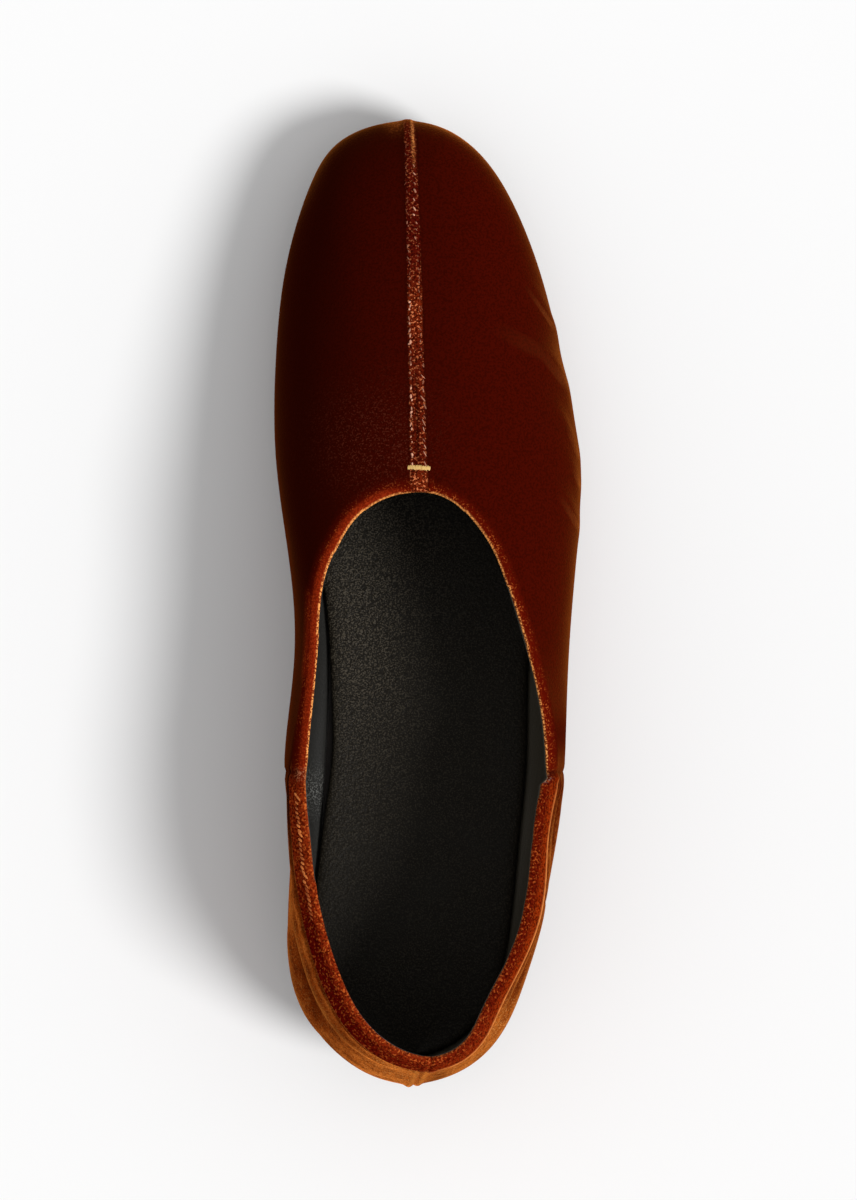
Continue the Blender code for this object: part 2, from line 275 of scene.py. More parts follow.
# Where the painted patch of light lies on the insole.
from_lit_patch_line = x - np.interp(y, LIT_PATCH_LINE_Y, LIT_PATCH_LINE_X)
lit_patch = hump(from_lit_patch_line, 0.0, LIT_PATCH_HALF_WIDTH) * hump(y, LIT_PATCH_CENTRE_Y, LIT_PATCH_HALF_LENGTH)
store(insole, "lit_patch", lit_patch)
insole_leather = Finish("insole_leather", Specular_IOR_Level=0.14)
pebble = insole_leather.node(
    "ShaderNodeTexVoronoi",
    {"feature": "SMOOTH_F1"},
    {"Vector": insole_leather.place(), "Scale": 1 / PEBBLE_SIZE},
)
grain = insole_leather.noise(GRAIN_SIZE, 2.0)
patch = insole_leather.noise(PATCH_SIZE, 2.0)
# Pale grain specks, brightest in the painted patch of light.
light = grain.between(0.48, 0.64) * (0.1 + 0.25 * patch + 0.85 * insole_leather.attribute("lit_patch"))
insole_leather.set(
    Base_Color=insole_leather.mix(light, BLACK_LEATHER, PAINTED_LIGHT_LEATHER),
    Roughness=0.45 + 0.2 * patch,
)
insole_leather.bump(pebble + 0.8 * grain, 0.16 * MM)
dress(insole, insole_leather, "insole_leather", "insole")


# Upper.  One sheet of rust velvet on a dark lining, sewn along a raised seam from toe to throat and closed
# at the back.  Its quarters end in a folded collar band that laps inside the vamp at the side seams.  It is
# lasted under the sole, which pulls soft folds at the ball, and the unstiffened quarters sag into pleats.
FOOT_AXIS_X = -4.0
FOOT_AXIS_Z = 27.0
FOOT_AXIS_ENDS_Y = (-88.0, 95.0)
PLEATED_BEHIND_Y = -40.0
PLEATED_ABOVE_Z = 33.0
RIM_ABOVE_Z = 40.0


def soft_step(values, low, high):
    """0 below low, 1 above high and a soft step between them."""
    share = np.clip((values - low) / (high - low), 0.0, 1.0)
    return share * share * (3 - 2 * share)


def surface_tree(piece):
    """A piece's surface as it is now, made ready for finding where lines meet it."""
    points, _ = mesh_arrays(piece)
    return BVHTree.FromPolygons(
        [Vector(point) for point in points], [tuple(face.vertices) for face in piece.data.polygons]
    )


def surface_point(tree, x, y):
    """Place and normal, in metres, where a line straight down at x, y in mm meets a surface."""
    place, normal, _, _ = tree.ray_cast(Vector((x * MM, y * MM, 1.0)), Vector((0, 0, -1)))
    return place, normal


def outward_points(places, normals):
    """True for points on the outside of the upper: their normals point away from the middle of the foot."""
    x, y, _ = places.T / MM
    axis_x = np.full(len(x), FOOT_AXIS_X)
    axis_y = np.clip(y, *FOOT_AXIS_ENDS_Y)
    axis_z = np.full(len(x), FOOT_AXIS_Z)
    return np.einsum("ij,ij->i", normals, places / MM - np.stack([axis_x, axis_y, axis_z], axis=1)) > 0


upper = copy_node("upper", "velvet_upper")
smooth(upper)

# The quarters' pleats need a finer mesh than the rest of the upper.
places, normals = mesh_arrays(upper)
pleated = outward_points(places, normals)
pleated &= (places[:, 1] < PLEATED_BEHIND_Y * MM) & (places[:, 2] > PLEATED_ABOVE_Z * MM)
bpy.ops.object.mode_set(mode="EDIT")
bpy.ops.mesh.select_all(action="DESELECT")
bpy.ops.object.mode_set(mode="OBJECT")
for face in upper.data.polygons:
    face.select = all(pleated[i] for i in face.vertices)
bpy.ops.object.mode_set(mode="EDIT")
bpy.ops.mesh.select_mode(type="FACE")
bpy.ops.mesh.subdivide(number_cuts=1)
bpy.ops.object.mode_set(mode="OBJECT")

# The rim is where the outside turns into the lining.  Each point knows its distance to it.
places, normals = mesh_arrays(upper)
x, y, z = places.T / MM
on_lateral = x > 0
outside = outward_points(places, normals)
edges = np.zeros(len(upper.data.edges) * 2, int)
upper.data.edges.foreach_get("vertices", edges)
edges = edges.reshape(-1, 2)
turned = outside[edges[:, 0]] != outside[edges[:, 1]]
rim_points = places[np.unique(edges[turned & (z[edges[:, 0]] > RIM_ABOVE_Z)])]
rim_tree = KDTree(len(rim_points))
for index, place in enumerate(rim_points):
    rim_tree.insert(place, index)
rim_tree.balance()
rim_found = [rim_tree.find(place) for place in places]
rim_gap = np.array([gap for _, _, gap in rim_found]) / MM
rim_near = rim_points[[index for _, index, _ in rim_found]] / MM
rim_y = rim_near[:, 1]

# The folded band: its width and how far below the rim it ends, from heel to throat.  Below it the wall
# falls to the belly.  The quarters end at the side seams.
BAND_Y = (-114, -60, -43, -25, -9, 4)
BAND_WIDTH = (6.2, 6.0, 5.2, 2.9, 2.0, 1.8)
BAND_DROP = (5.8, 5.0, 4.4, 2.2, 2.2, 2.2)
LATERAL_EXTRA_WIDTH = 0.5
BELLY_Z = 25.0
QUARTER_ENDS_Y = (-45.0, -42.0)
band_share = rim_gap / (np.interp(rim_y, BAND_Y, BAND_WIDTH) + LATERAL_EXTRA_WIDTH * on_lateral)
band_foot = rim_near[:, 2] - np.interp(rim_y, BAND_Y, BAND_DROP)
fall = (band_foot - z) / (band_foot - BELLY_Z)
on_quarter = 1 - soft_step(y, *QUARTER_ENDS_Y)

# Folds of the vamp seen from above: start, end, half width and height.  Those with a minus are troughs.
Fold = namedtuple("Fold", "start end width height")
FOLDS = (
    Fold((21.5, 85.3), (33.0, 70.4), 1.9, 0.45),
    Fold((19.0, 76.5), (34.2, 63.8), 2.8, -0.3),
    Fold((10.0, 73.0), (30.5, 62.6), 3.0, 0.5),
    Fold((25.0, 67.0), (35.8, 55.6), 2.4, 0.4),
    Fold((22.0, 60.0), (36.8, 47.5), 3.6, -0.35),
    Fold((31.5, 52.0), (38.0, 38.8), 2.2, 0.35),
    Fold((34.0, 39.0), (38.6, 30.6), 1.8, 0.25),
    Fold((28.0, 37.0), (38.0, 26.0), 2.8, -0.25),
    Fold((29.0, 31.5), (38.2, 19.8), 2.2, 0.4),
)
FOLD_FOOT_Z = 8.0
FOLD_SLANT = 0.35
FOLD_TOP_SHARE = 0.72
FOLD_WIDENING = 1.5

# Pleats along the walls of the quarters: their y at back and front, how far down the wall they lie there
# (0 at the band, 1 at the belly), their half width as a share of the wall, and their height.
Pleat = namedtuple("Pleat", "lateral back front fall_back fall_front width height")
PLEATS = (
    Pleat(False, -120.0, -72.0, 0.20, 0.22, 0.07, 0.9),
    Pleat(False, -110.0, -84.0, 0.50, 0.46, 0.13, -1.9),
    Pleat(False, -112.0, -82.0, 0.86, 0.80, 0.12, 0.6),
    Pleat(True, -80.0, -44.0, 0.16, 0.20, 0.06, 0.7),
    Pleat(True, -78.0, -44.0, 0.44, 0.50, 0.14, -1.7),
    Pleat(True, -115.0, -78.0, 0.22, 0.14, 0.06, 0.7),
    Pleat(True, -113.0, -80.0, 0.40, 0.34, 0.10, -0.9),
    Pleat(True, -113.0, -76.0, 0.62, 0.52, 0.08, 0.7),
)


def along_fold(fold, tree):
    """How close each point lies to a fold: 1 on its line, which widens and fades down the wall."""
    start, end = (np.array(surface_point(tree, *point)[0]) / MM for point in (fold.start, fold.end))
    foot = np.array((end[0], end[1] + FOLD_SLANT * (end[1] - start[1]), FOLD_FOOT_Z))
    over_top = (start, end, 0.0, FOLD_TOP_SHARE)
    down_wall = (end, foot, FOLD_TOP_SHARE, 1 - FOLD_TOP_SHARE)
    gaps, stations = [], []
    for first, last, offset, length in (over_top, down_wall):
        run = last - first
        along = np.clip((places / MM - first) @ run / (run @ run), 0.0, 1.0)
        gaps.append(np.linalg.norm(places / MM - first - along[:, None] * run, axis=1))
        stations.append(offset + length * along)
    station = np.where(gaps[0] < gaps[1], *stations)
    width = fold.width * (1 + FOLD_WIDENING * soft_step(station, 0.6, 1.0))
    ends = (1 - (2 * station - 1) ** 2) ** 1.3
    return hump(np.minimum(*gaps), 0.0, width) * ends


def along_pleat(pleat):
    """How close each point lies to a pleat: 1 on the middle of its line, nothing beyond its ends."""
    along = np.clip((y - pleat.back) / (pleat.front - pleat.back), 0.0, 1.0)
    line = pleat.fall_back + (pleat.fall_front - pleat.fall_back) * along
    ends = 1 - np.abs(2 * along - 1) ** 4
    return hump(fall, line, pleat.width) * ends * (on_lateral == pleat.lateral) * on_quarter


plain_shell = surface_tree(upper)
folds = [along_fold(fold, plain_shell) for fold in FOLDS]
pleats = [along_pleat(pleat) for pleat in PLEATS]
fold_crests = sum(near for fold, near in zip(FOLDS, folds) if fold.height > 0)
pleat_ridges = sum(near ** 3 for pleat, near in zip(PLEATS, pleats) if pleat.height > 0)
pleat_pockets = sum(near for pleat, near in zip(PLEATS, pleats) if pleat.height < 0)

# The band's edge, the groove under it and its line of stitches: their place as a share of its width, and
# their height.  Those with a minus are sunk.
BAND_LINES = ((0.92, 0.35), (1.1, -0.6), (0.5, -0.18))
BAND_LINE_WIDTH = 0.08
SUBDIVISION_LOSS = 0.3
lift = SUBDIVISION_LOSS * soft_step(z, 4.0, 12.0)
lift += sum(row.height * near for row, near in zip(FOLDS + PLEATS, folds + pleats))
lift += on_quarter * sum(height * hump(band_share, line, BAND_LINE_WIDTH) for line, height in BAND_LINES)

# Bulges of slack velvet behind the lateral side seam, measured from it, and of the lining: their middle and
# half width in y and in z, and their height.  The one with a minus is a hollow.
Bulge = namedtuple("Bulge", "y y_width z z_width height")
SLACK_VELVET = Bulge(-4.0, 2.6, 38.0, 8.0, 0.5)
MEDIAL_LINING = (Bulge(-46.0, 5.0, 34.0, 7.0, 1.3), Bulge(-36.0, 4.0, 36.0, 7.0, -0.7))
REAR_LINING = Bulge(-62.0, 5.0, 36.0, 8.0, 0.7)
SIDE_SEAM_TOP_Y = -43.6
SIDE_SEAM_TOP_Z = 45.0
SIDE_SEAM_LEAN = 0.04
SIDE_SEAM_WIDTH = 0.8
SIDE_SEAM_DEPTH = 0.4


def bulge_lift(bulge, from_y):
    """How far a bulge lifts each point, whose y is measured from the bulge's own zero."""
    return bulge.height * hump(from_y, bulge.y, bulge.y_width) * hump(z, bulge.z, bulge.z_width)


side_seam_y = SIDE_SEAM_TOP_Y + SIDE_SEAM_LEAN * (z - SIDE_SEAM_TOP_Z)
lift -= SIDE_SEAM_DEPTH * hump(y, side_seam_y, SIDE_SEAM_WIDTH) * soft_step(rim_gap, 1.0, 4.0)
lift += bulge_lift(SLACK_VELVET, y - side_seam_y) * on_lateral
lining_lift = sum(bulge_lift(bulge, y) for bulge in MEDIAL_LINING) * ~on_lateral
lining_lift += bulge_lift(REAR_LINING, y)

# The back seam sinks between two ridges.
BACK_SEAM_Z = (25.0, 50.0, 62.0)
BACK_SEAM_X = (-4.6, -3.2, -1.7)
BACK_SEAM_WIDTH = 0.5
BACK_SEAM_DEPTH = 0.4
BACK_RIDGE_OFFSET = 1.15
BACK_RIDGE_WIDTH = 0.65
BACK_RIDGE_HEIGHT = 0.3
at_heel = soft_step(-y, 98.0, 108.0)
from_back_seam = x - np.interp(z, BACK_SEAM_Z, BACK_SEAM_X)
back_ridges = sum(hump(from_back_seam, side * BACK_RIDGE_OFFSET, BACK_RIDGE_WIDTH) for side in (-1, 1))
back_ridges *= at_heel * soft_step(fall, -0.1, 0.15)
lift += BACK_RIDGE_HEIGHT * back_ridges
lift -= BACK_SEAM_DEPTH * at_heel * hump(from_back_seam, 0.0, BACK_SEAM_WIDTH)
places = places + normals * (np.where(outside, lift, lining_lift) * MM)[:, None]

# The collar's edge is notched at the side seams and waves behind them: distances back from the middle of
# the shoe, and how far in, or out with a minus, the edge leans there.
LATERAL_WAVE = (
    (36, 41, 45.2, 46.6, 60, 70, 77, 85, 92, 104),
    (0, -0.3, -1.1, 0.4, -0.3, 0.2, 0.5, 0, -0.4, 0),
)
MEDIAL_WAVE = (
    (40, 46, 60, 75, 95, 110),
    (0, -0.4, -0.2, -0.4, 0.2, 0.5),
)
LATERAL_NOTCH = 1.2
MEDIAL_NOTCH = 0.4
NOTCH_WIDTH = 0.7
near_rim = 1 - soft_step(rim_gap, 1.5, 7.0)
notch = near_rim * hump(y, side_seam_y, NOTCH_WIDTH) * np.where(on_lateral, LATERAL_NOTCH, MEDIAL_NOTCH)
wave = near_rim * np.where(on_lateral, np.interp(-y, *LATERAL_WAVE), np.interp(-y, *MEDIAL_WAVE))
places[:, 2] -= notch * MM
places[:, 0] -= np.sign(x) * wave * MM
move_points(upper, places)
_, normals = mesh_arrays(upper)

# Where the pile is lit, rubbed, shaded or sewn.  The material reads each mark by its name.
LIT_FROM = np.array([0.89, -0.45, 0.0])
SEAM_Y = (27.0, 125.0)
SEAM_X = (-3.7, -5.0)
SEAM_HALF_WIDTH = (2.1, 1.4)
GLOW_Y = (-43.0, -20.0, 5.0, 27.0)
GLOW_REACH = (4.6, 3.8, 3.2, 3.0)
MEDIAL_EXTRA_REACH = 1.6
# The worn edge along the rim with its painted highlight: its width from the quarters to the throat.
LIT_WORN_EDGE_Y = (-20.0, 5.0, 24.0)
LIT_WORN_EDGE_WIDTH = (0.5, 0.6, 0.8)
HEEL_CENTRE_X = -3.0
HEEL_CENTRE_Y = -60.0


def spot(middle_x, middle_y, half_width):
    """1 in the middle of a round spot seen from above."""
    return hump(np.hypot(x - middle_x, y - middle_y), 0.0, half_width)


from_seam = np.clip((x - np.interp(y, SEAM_Y, SEAM_X)) / np.interp(y, SEAM_Y, SEAM_HALF_WIDTH), -2.0, 2.0)
facing_up = normals[:, 2] > -0.2
medial = soft_step(-x, 4.0, 14.0)
glow_reach = np.interp(rim_y, GLOW_Y, GLOW_REACH) + MEDIAL_EXTRA_REACH * ~on_lateral
# A rubbed spot on the toe's top, with a painted highlight in its colour and more sheen.
worn_toe_highlight = spot(-8.6, 123.6, 2.2) * soft_step(normals[:, 2], -0.05, 0.15)
# How dark the painted shade beside the seam strip is, darkest at the toe.
groove_shade_strength = 0.45 + 0.4 * soft_step(y, 106.0, 116.0)
# Painted sheen: the quarters' upper walls are painted golden, as the pile looks when seen edge on.
golden_sheen = np.where(on_lateral, soft_step(-y, 44.0, 66.0), soft_step(-y, 46.0, 78.0))
rear_bloom = np.where(on_lateral, soft_step(-y, 30.0, 62.0), soft_step(-y, 41.0, 76.0))
bloom = 0.10 + 0.4 * soft_step(x, 8.0, 34.0) + 0.5 * soft_step(y, 95.0, 120.0)
bloom += 0.25 * np.clip(fold_crests, 0.0, 1.0) + 0.75 * rear_bloom * (1 - 0.6 * soft_step(fall, 0.8, 1.5))
bloom += 0.8 * worn_toe_highlight - 0.5 * on_lateral * hump(y, -36.0, 10.0)
bloom *= 1 - 0.95 * on_quarter * (1 - soft_step(band_share, 0.9, 1.05))
marks = {
    # Painted shade: sides turned away from the key light are darker, sides turned to it paler.
    "nap": soft_step(normals @ LIT_FROM, -0.75, 0.25),
    "bloom": np.clip(bloom, 0.0, 0.95),
    # Steep walls, whose colour is painted lighter as sheen.
    "low": 1 - soft_step(normals[:, 2], -0.1, 0.22),
    "frost": spot(-14.0, 40.0, 13.0),
    "worn_toe_highlight": worn_toe_highlight,
    "lateral": soft_step(x, -6.0, 6.0),
    "medial": medial,
    "quarter": 1 - soft_step(y, -49.0, -40.0),
    "heel": at_heel * soft_step(x, -22.0, -9.0),
    # Painted golden sheen on the quarters' upper walls.
    "golden_sheen": golden_sheen * (1 - soft_step(fall, 0.7, 1.5)),
    "rim": rim_gap,
    "edge": rim_gap / np.interp(rim_y, LIT_WORN_EDGE_Y, LIT_WORN_EDGE_WIDTH),
    "throat": soft_step(rim_y, 0.0, 22.0),
    "glow": (1 - soft_step(rim_gap, 0.6, glow_reach)) * (1 - on_quarter),
    "rim_glow": 1 - soft_step(rim_gap, 0.2 + 1.1 * medial, 1.1 + 1.3 * medial),
    "share": band_share,
    "around": np.degrees(np.arctan2(x - HEEL_CENTRE_X, HEEL_CENTRE_Y - y)),
    "front_band": medial * soft_step(y, -84.0, -66.0),
    # Painted highlight along the pleats' crests.
    "ridge": np.clip(pleat_ridges, 0.0, 1.0),
    # Painted shade in the pleats' troughs.
    "pocket": np.clip(pleat_pockets, 0.0, 1.0),
    "back_ridges": np.clip(back_ridges, 0.0, 1.0),
    # Painted shade on the wall beside the back seam.
    "back_seam_shade": at_heel * hump(from_back_seam, 5.2, 3.2) * hump(fall, 0.65, 0.35),
    "joint": hump(y, side_seam_y, 0.5),
    "lateral_fray": spot(27.8, -45.2, 0.8) * (z > RIM_ABOVE_Z),
    "medial_fray": spot(-33.0, -44.0, 1.3) * (z > RIM_ABOVE_Z),
    "seam": (1 - soft_step(np.abs(from_seam), 0.9, 1.1)) * soft_step(y, 20.0, 26.0) * facing_up,
    "warm": hump(y, 74.0, 7.5) + hump(y, 30.0, 3.5) + 0.45 * hump(y, 50.0, 15.0),
    "ditch": hump(from_seam, -0.05, 0.16) * soft_step(y, 33.0, 37.0) * (1 - soft_step(y, 54.0, 62.0)),
    "toe_lip": soft_step(y, 110.0, 118.0) * hump(from_seam, 0.4, 0.22),
    "groove": groove_shade_strength * hump(from_seam, 1.05, 0.22) * soft_step(y, 24.0, 30.0) * facing_up,
    "lit_weave": medial * hump(y, -50.0, 5.0),
}
for name, amount in marks.items():
    store(upper, name, amount)

# Light caught along the folds' crests, seen from above: start, end, half width and strength.
LitCrest = namedtuple("LitCrest", "start end half_width strength")
LIT_CRESTS = (
    LitCrest((23.6, 82.4), (33.6, 69.4), 0.8, 0.85),
    LitCrest((14.0, 71.0), (33.0, 61.6), 2.6, 0.30),
    LitCrest((27.0, 65.4), (37.0, 54.2), 1.5, 0.60),
    LitCrest((35.0, 46.2), (39.2, 36.0), 0.9, 0.60),
    LitCrest((36.4, 35.2), (39.8, 28.4), 0.8, 0.55),
    LitCrest((32.0, 28.4), (39.6, 17.2), 1.1, 0.65),
)


def stroke(finish, crest):
    """1 along the middle of a lit crest, fading to its sides and ends."""
    run = (Vector(crest.end) - Vector(crest.start)) * MM
    ahead = run.normalized()
    from_start = [
        finish.node("ShaderNodeSeparateXYZ", {}, {0: finish.place()}, output=axis) - crest.start[axis] * MM
        for axis in (0, 1)
    ]
    along = (from_start[0] * ahead.x + from_start[1] * ahead.y) * (1 / run.length)
    across = (from_start[1] * ahead.x - from_start[0] * ahead.y) * (1 / (crest.half_width * MM))
    ends = along.between(0.0, 0.65) * (1 - along.between(0.65, 1.0))
    return (1 - (across * across).between(0.0, 1.0)) * ends


def layered(finish, base, *layers):
    """A base colour with layers over it.  Each has a name, which labels its node, a share and a colour."""
    for name, share, colour in layers:
        base = finish.mix(share, base, colour)
        base.output.node.label = name
    return base


# The velvet's pile is deep red in the flat, orange where it is seen from the side and worn on its edges,
# which carry a painted highlight.
# Noises stand for its fibres, tufts and clumps, and for the strokes of a hand.
velvet = Finish("rust_velvet")
mark = velvet.attribute
speck = velvet.noise(0.44 * MM, 1.0)
pile = velvet.noise(0.6 * MM, 2.0)
fluff = velvet.noise(0.62 * MM, 1.0)
clump = velvet.noise(2.2 * MM, 2.0)
brushed = velvet.noise(18 * MM, 2.0)
dots = speck.between(0.48, 0.54)
worn = speck.between(0.57, 0.64) * clump.between(0.36, 0.6)
parted = 1 - pile.between(0.42, 0.53)
share = mark("share")
lateral = mark("lateral")
quarter_part = mark("quarter")
heel = mark("heel")

lit_crests = sum(crest.strength * stroke(velvet, crest) for crest in LIT_CRESTS)
lit_crests = lit_crests * (0.4 + 1.1 * clump) * (1 - mark("low"))
vamp_colour = layered(
    velvet,
    # Base colour with painted shade on the sides turned away from the key light.
    velvet.mix(mark("nap"), (0.022, 0.0015, 0.0003), (0.053, 0.0026, 0.0005)),
    ("parted pile", 0.5 * (1 - pile.between(0.36, 0.58)), (0.018, 0.0012, 0.0002)),
    ("frosted medial side", mark("frost") * speck.between(0.54, 0.68) * 0.4, (0.15, 0.032, 0.018)),
    ("lit crests", 0.22 * lit_crests, (0.19, 0.045, 0.012)),
    # Painted sheen on the lower walls: the orange the pile shows when seen edge on.
    ("painted sheen on the lower walls", mark("low") * (0.5 + 0.6 * brushed), (0.092, 0.0088, 0.0012)),
    # Rubbed pile on the toe with a painted highlight.
    ("worn toe with painted highlight", mark("worn_toe_highlight") * (0.1 + 0.35 * fluff.between(0.5, 0.6)), (0.50, 0.12, 0.022)),
    ("glow beside the throat", mark("glow") * (0.35 + 0.6 * pile), (0.115, 0.0045, 0.0009)),
    ("worn tips beside the throat", mark("glow") ** 2.0 * worn, (0.42, 0.085, 0.016)),
)

along_wall = velvet.node("ShaderNodeCombineXYZ", {}, {0: 1.8 * share, 1: 0.16 * mark("around")})
streak = velvet.noise(1.0, 2.0, along_wall)
# The walls' golden tones are painted sheen, paler on the medial side; their streaks and mottling are the
# pile's own.
wall_colour = layered(
    velvet,
    velvet.mix(lateral, (0.19, 0.028, 0.0022), (0.12, 0.015, 0.0014)),
    ("brushed pile", brushed.between(0.3, 0.7),
     velvet.mix(lateral, (0.26, 0.046, 0.004), (0.17, 0.027, 0.0024))),
    ("lit heel", (0.75 + 0.2 * lateral) * heel, (0.38, 0.090, 0.010)),
    ("dark streaks", 0.5 * streak.between(0.5, 0.68), (0.070, 0.0085, 0.0010)),
    ("light streaks", 0.35 * (1 - streak.between(0.32, 0.46)), (0.42, 0.12, 0.018)),
    ("parted pile", 0.48 * parted, (0.050, 0.0055, 0.0008)),
    ("mottled heel", 0.5 * heel * clump.between(0.5, 0.6), (0.14, 0.024, 0.003)),
    ("glints", speck.between(0.57, 0.66) * (0.15 + 0.45 * heel), (0.75, 0.33, 0.09)),
    # Painted shade in the pleats' pockets.
    ("painted shade in the pleats' pockets", (0.58 - 0.08 * lateral) * mark("pocket"), (0.060, 0.0070, 0.0009)),
    # Painted shade beside the back seam.
    ("painted shade beside the back seam", 0.72 * mark("back_seam_shade"), (0.040, 0.0030, 0.0007)),
    # Painted highlight on the pleats' ridges.
    ("painted highlight on the pleats' ridges", mark("ridge") * (0.25 + 0.5 * pile), (0.40, 0.13, 0.022)),
)

inner_half = 1 - (share + 0.3 * clump).between(0.2, 0.6)
medial_band = layered(
    velvet,
    velvet.mix(inner_half, (0.088, 0.0024, 0.0008), (0.25, 0.024, 0.004)),
    ("front of the band", mark("front_band") * (0.2 + 0.6 * pile), (0.24, 0.026, 0.004)),
)
lateral_band = velvet.mix(share.between(0.25, 0.65), (0.105, 0.0062, 0.0012), (0.21, 0.019, 0.0016))
lit_tufts = fluff.between(0.56, 0.66) * (0.3 + 0.5 * inner_half) * (1 - 0.45 * lateral)
band_colour = layered(
    velvet,
    velvet.mix(lateral, medial_band, lateral_band),
    ("lit heel", 0.4 * heel, (0.19, 0.016, 0.003)),
    ("parted pile", 0.75 * parted, (0.032, 0.0010, 0.0003)),
    ("lit tufts", lit_tufts, (0.62, 0.13, 0.022)),
)

thin_line = share.between(0.91, 0.94) * (1 - share.between(0.955, 0.985))
broad_line = share.between(0.80, 0.90) * (1 - share.between(0.95, 0.99)) * (0.6 + 0.7 * mark("golden_sheen"))
fold_line = velvet.node("ShaderNodeMix", {}, {0: lateral, 2: thin_line, 3: broad_line})
quarter_colour = layered(
    velvet,
    band_colour,
    # Painted shade in the groove under the band's fold.
    ("painted shade in the groove under the band", share.between(0.99, 1.04), (0.045, 0.005, 0.001)),
    ("wall", share.between(1.06, 1.18), velvet.mix(mark("golden_sheen"), vamp_colour, wall_colour)),
    ("lit edge of the band", fold_line * (0.2 + clump), (0.68, 0.21, 0.05)),
    # Painted highlight on the ridges either side of the back seam.
    ("painted highlight on the back seam's ridges", 0.6 * mark("back_ridges"), (0.42, 0.14, 0.024)),
)

warm = mark("warm")
strip_colour = layered(
    velvet,
    velvet.mix(warm * (0.3 + 0.7 * pile), (0.085, 0.0045, 0.0016), (0.20, 0.022, 0.0045)),
    ("parted pile", 0.75 * (1 - pile.between(0.42, 0.54)), (0.020, 0.0012, 0.0004)),
    ("lit tufts", fluff.between(0.59, 0.66) * (0.3 + 0.5 * warm), (0.78, 0.22, 0.08)),
    ("ditch along the middle", 0.8 * mark("ditch"), (0.012, 0.001, 0.0003)),
    ("lip at the toe", mark("toe_lip") * (0.2 + 0.8 * dots), (0.58, 0.20, 0.05)),
)

throat = mark("throat")
off_quarter = 1 - 0.85 * quarter_part
rim_glow = off_quarter * mark("rim_glow") * (0.1 + 0.5 * dots + 0.3 * mark("medial"))
# A thin line on the rim, worn pile with a painted highlight, brightest at the throat.
edge_light = 0.06 + 0.3 * throat + (0.94 - 0.3 * throat) * dots
edge_line = off_quarter * (1 - mark("edge").between(0.3, 1.0)) * edge_light
velvet_colour = layered(
    velvet,
    vamp_colour,
    ("quarters", quarter_part, quarter_colour),
    ("side seams", 0.6 * mark("joint"), (0.030, 0.003, 0.001)),
    ("glow along the rim", rim_glow, (0.27, 0.022, 0.004)),
    ("worn edge with painted highlight", edge_line, (0.95, 0.38, 0.10)),
    ("seam strip", mark("seam"), strip_colour),
    # Painted shade in the groove beside the strip.
    ("painted shade in the groove beside the strip", mark("groove"), (0.012, 0.001, 0.0003)),
    ("frayed lateral seam", mark("lateral_fray") * speck.between(0.5, 0.6), (0.34, 0.30, 0.24)),
    ("frayed medial seam", 0.7 * mark("medial_fray") * fluff.between(0.5, 0.6), (0.65, 0.24, 0.11)),
)

# The pile's light from the side is a second shader with an orange sheen, mixed in by the bloom.
MATT_PILE = {"Roughness": 1.0, "Specular IOR Level": 0.0}
ORANGE_SHEEN = {"Sheen Weight": 1.0, "Sheen Roughness": 0.28, "Sheen Tint": (1.0, 0.29, 0.045)}
velvet.set(Base_Color=velvet_colour, **MATT_PILE)
band_relief = fold_line - share.between(0.98, 1.05) * (1 - share.between(1.1, 1.3))
pile_relief = velvet.bump(0.1 * speck + 0.08 * pile + 0.4 * quarter_part * band_relief, MM)
sheen = velvet.node(
    "ShaderNodeBsdfPrincipled",
    {},
    {"Base Color": velvet_colour, "Normal": pile_relief, **MATT_PILE, **ORANGE_SHEEN},
)
flat_pile = quarter_part * (0.4 * streak.between(0.44, 0.62) + 0.45 * (1 - pile.between(0.40, 0.55)))
sheen_share = mark("bloom") * (0.8 + 0.4 * brushed) * (1 - flat_pile) + lit_crests
matt = Value(velvet, velvet.shader.outputs[0])
both = velvet.node("ShaderNodeMixShader", {}, {0: sheen_share, 1: matt, 2: sheen})
velvet.fill(velvet.tree.nodes["Material Output"].inputs["Surface"], both)

# The lining is a dark woven cloth with a soft shine, a little paler on its lateral side.
lining = Finish(
    "dark_lining",
    Specular_IOR_Level=0.28,
    Sheen_Weight=0.12,
    Sheen_Roughness=0.4,
    Sheen_Tint=(0.8, 0.8, 0.8),
)
weave = lining.noise(0.4 * MM, 2.0)
# A painted highlight on the lining's lip just inside the quarters' rim.
lip = lining.attribute("quarter") * (1 - lining.attribute("rim").between(0.5, 1.2))
lit_threads = 0.6 * lining.attribute("lit_weave") * weave.between(0.5, 0.62)
lining_colour = layered(
    lining,
    lining.mix(weave + lip, (0.008, 0.0075, 0.0065), (0.022, 0.021, 0.018)),
    ("lateral side", lining.attribute("lateral"), (0.060, 0.051, 0.036)),
    ("lit threads", lit_threads, (0.17, 0.17, 0.155)),
)
lining.set(Base_Color=lining_colour, Roughness=0.38 + 0.2 * weave)
lining.bump(weave, 0.06 * MM)
dress(upper, velvet, "rust_velvet", "upper")
upper.data.materials.append(lining.material)
for face in upper.data.polygons:
    face.material_index = int(not any(outside[i] for i in face.vertices))


# Seam stitching.  Two rows of pale and rust thread that hold the raised seam's edges down, throat to toe.
# The stitches of the medial row stand out; those of the lateral row lie slanted and sink into the pile.
Stitch = namedtuple("Stitch", "x y length width turn pale")
STITCH_HEIGHT_SHARE = 0.8
STITCH_RISE_SHARE = 0.1
TWIST_SIZE = 0.15 * MM
TWIST_DEPTH = 0.03 * MM


